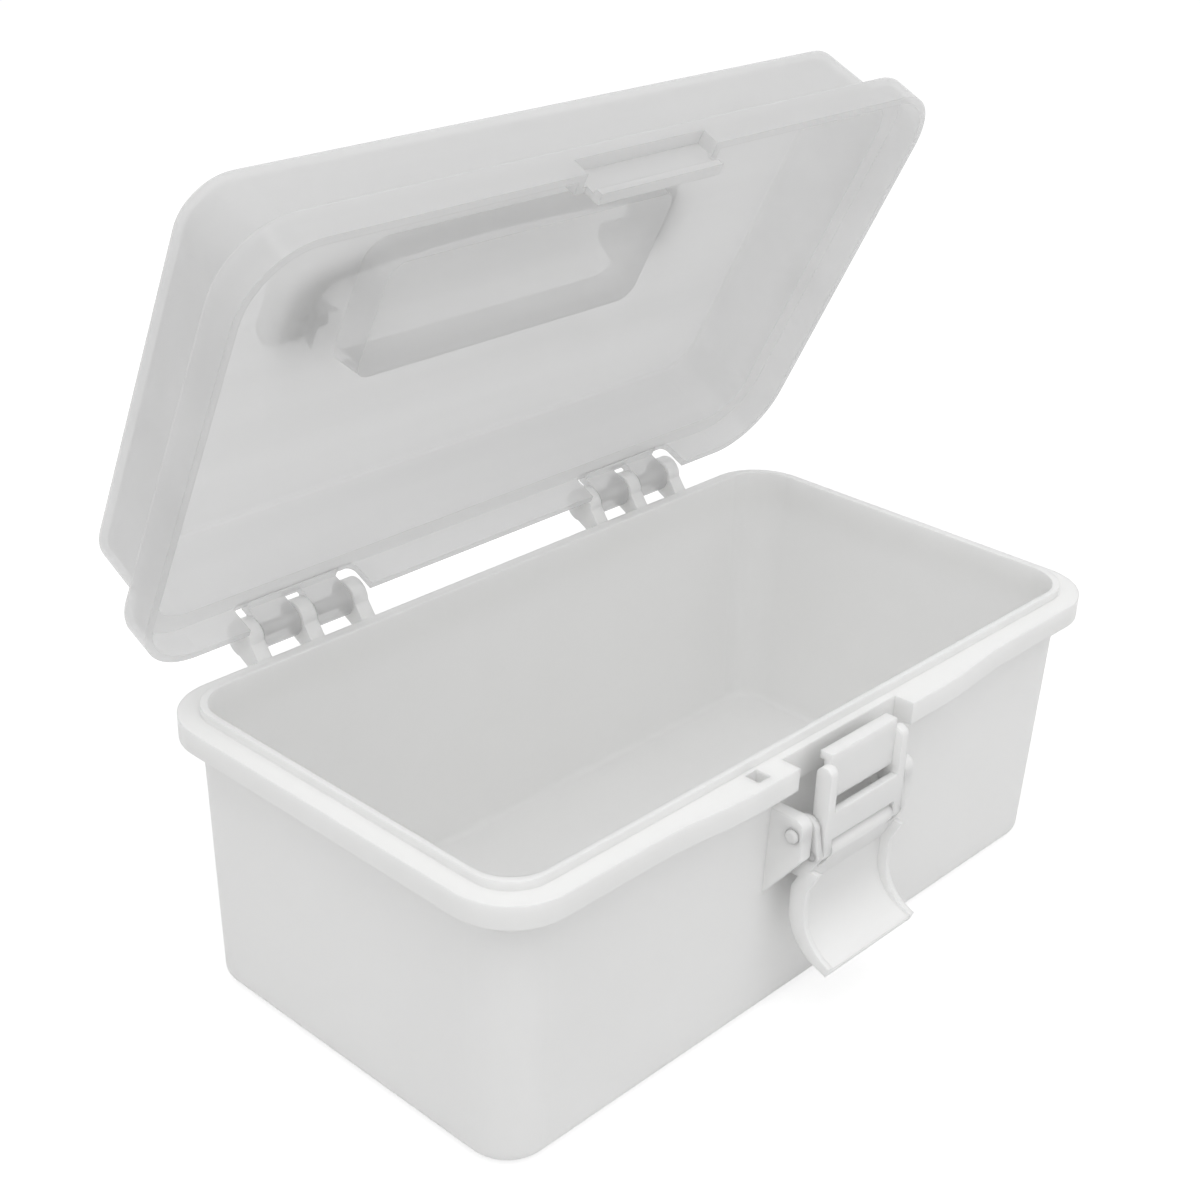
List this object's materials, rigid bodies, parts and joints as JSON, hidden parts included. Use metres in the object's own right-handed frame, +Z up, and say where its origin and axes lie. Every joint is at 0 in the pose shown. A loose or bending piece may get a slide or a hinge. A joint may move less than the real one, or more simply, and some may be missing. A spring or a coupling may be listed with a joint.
{
  "type": "plastic storage box",
  "caption": "Small rectangular storage box with a rimmed tub, a domed clear lid on rear hinges, a folding carry handle and a front lever latch with a hook.",
  "frame": {"origin": "middle of the tub's underside, on the surface that it stands on", "axes": "+Z up, X along the box's length, the front with the latch faces -Y and the hinges are at +Y"},
  "size_m": [0.2044, 0.1441, 0.1822],
  "materials": {
    "white_plastic": "satin moulded white",
    "clear_plastic": "clear, slightly hazy"
  },
  "bodies": {
    "tub": {"box_body": "white_plastic", "hinge_pin_left": "white_plastic", "hinge_pin_right": "white_plastic"},
    "lid": {"lid": "clear_plastic"},
    "handle": {"carry_handle": "white_plastic"},
    "lever": {"latch_lever": "white_plastic"},
    "hook": {"latch_link": "white_plastic"}
  },
  "joints": [
    {"name": "lid_hinge", "type": "hinge", "parent": "tub", "child": "lid", "pos_m": [0, 0.06085, 0.0712], "axis": [-1, 0, 0], "range_deg": [-64.4, 115.6]},
    {"name": "handle_pivot", "type": "hinge", "parent": "lid", "child": "handle", "pos_m": [0, 0.06028, 0.13951], "axis": [-1, 0, 0], "range_deg": [0, 180]},
    {"name": "lever_pivot", "type": "hinge", "parent": "tub", "child": "lever", "pos_m": [0, -0.05575, 0.0513], "axis": [-1, 0, 0], "range_deg": [-10, 105]},
    {"name": "hook_pivot", "type": "hinge", "parent": "lever", "child": "hook", "pos_m": [0, -0.05795, 0.0454], "axis": [-1, 0, 0], "range_deg": [-120, 25]}
  ],
  "couplings": [
    {"joint": "hook_pivot", "follows": "lever_pivot", "ratio": -1}
  ]
}
